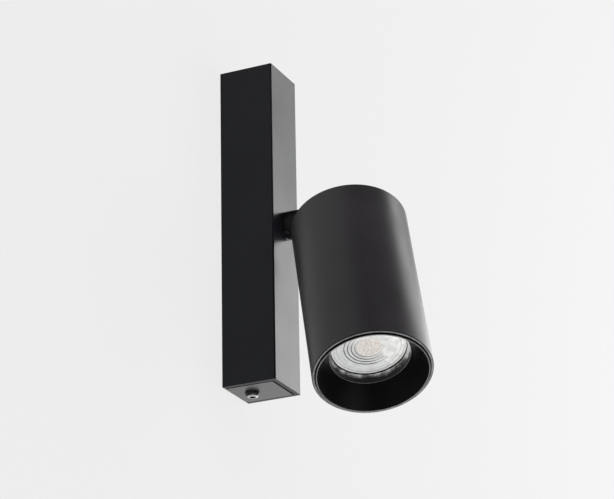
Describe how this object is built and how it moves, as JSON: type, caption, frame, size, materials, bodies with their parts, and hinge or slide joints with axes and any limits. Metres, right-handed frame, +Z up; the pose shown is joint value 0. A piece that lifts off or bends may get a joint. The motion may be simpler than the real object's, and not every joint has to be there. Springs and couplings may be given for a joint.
{
  "type": "pivoting spotlight wall light",
  "caption": "Square wall bar with a swivelling, tilting round spotlight head on a short forked stub, holding a twist-lock reflector lamp behind a recessed conical baffle.",
  "frame": {"origin": "centre of the bar's open back, on the plane of the wall", "axes": "+Z up along the bar, +Y into the wall (the room is towards -Y), +X to the right as seen from the room"},
  "size_m": [0.1177, 0.1611, 0.271],
  "materials": {
    "black_coat": "satin black powder coat on aluminium",
    "baffle_black": "matt black anti-glare baffle",
    "black_steel": "blackened steel fastener",
    "zinc_steel": "zinc plated steel",
    "brass": "turned brass",
    "tinned_copper": "tinned copper lug",
    "nylon": "natural nylon",
    "rubber": "soft black rubber",
    "sleeve_black": "black insulating sleeve",
    "lead_brown": "brown lead insulation",
    "lead_blue": "blue lead insulation",
    "lead_earth": "green and yellow lead insulation",
    "lead_white": "white heat-resistant lead insulation",
    "lamp_white": "white moulded lamp body",
    "lamp_glass": "clear front lens with fine moulded rings",
    "board_white": "white solder-masked lamp board",
    "phosphor": "yellow phosphor dots",
    "nickel": "nickel plated pins",
    "ceramic": "unglazed ceramic lampholder"
  },
  "bodies": {
    "wall_unit": {"bar_housing": "black_coat", "bottom_end_plate": "black_coat", "top_end_plate": "black_coat", "wall_bracket": "zinc_steel", "press_nuts": "zinc_steel", "cover_screws": "black_steel", "cable_grommet": "rubber", "terminal_block": "nylon", "terminal_ferrules": "brass", "terminal_screws": "zinc_steel", "terminal_fixing_screw": "zinc_steel", "earth_ring_tag": "tinned_copper", "earth_washer": "zinc_steel", "earth_screw": "brass", "bar_sleeve": "sleeve_black", "live_lead": "lead_brown", "neutral_lead": "lead_blue", "earth_lead": "lead_earth", "swivel_collar": "black_coat", "bearing_washer": "nylon", "stop_pin": "zinc_steel"},
    "swivel_arm": {"swivel_nipple": "brass", "stop_washer": "zinc_steel", "spring_washer": "zinc_steel", "swivel_nut": "zinc_steel", "swivel_stub": "black_coat", "stub_grub_screw": "black_steel", "tilt_screw": "black_steel", "tilt_nut": "black_steel", "friction_washers": "nylon", "arm_sleeve": "sleeve_black", "knuckle_sleeve": "sleeve_black"},
    "head": {"head_knuckle": "black_coat", "rear_cap": "black_coat", "head_tube": "black_coat", "knuckle_screws": "zinc_steel", "head_gland": "rubber", "baffle": "baffle_black", "baffle_o_ring": "rubber", "lamp_body": "lamp_white", "lamp_lens": "lamp_glass", "lamp_board": "board_white", "lamp_chips": "phosphor", "lamp_pins": "nickel", "lampholder": "ceramic", "holder_screws": "zinc_steel", "lampholder_hanger": "zinc_steel", "hanger_screws": "zinc_steel", "head_sleeve": "sleeve_black", "holder_leads": "lead_white"}
  },
  "joints": [
    {"name": "swivel", "type": "hinge", "parent": "wall_unit", "child": "swivel_arm", "pos_m": [0, -0.04, 0], "axis": [0, 1, 0], "range_deg": [-187.66, 150.34]},
    {"name": "tilt", "type": "hinge", "parent": "swivel_arm", "child": "head", "pos_m": [0, -0.058, 0], "axis": [-0.9474, 0, 0.32], "range_deg": [-14.05, 75.95], "deforming": ["knuckle_sleeve"]}
  ]
}
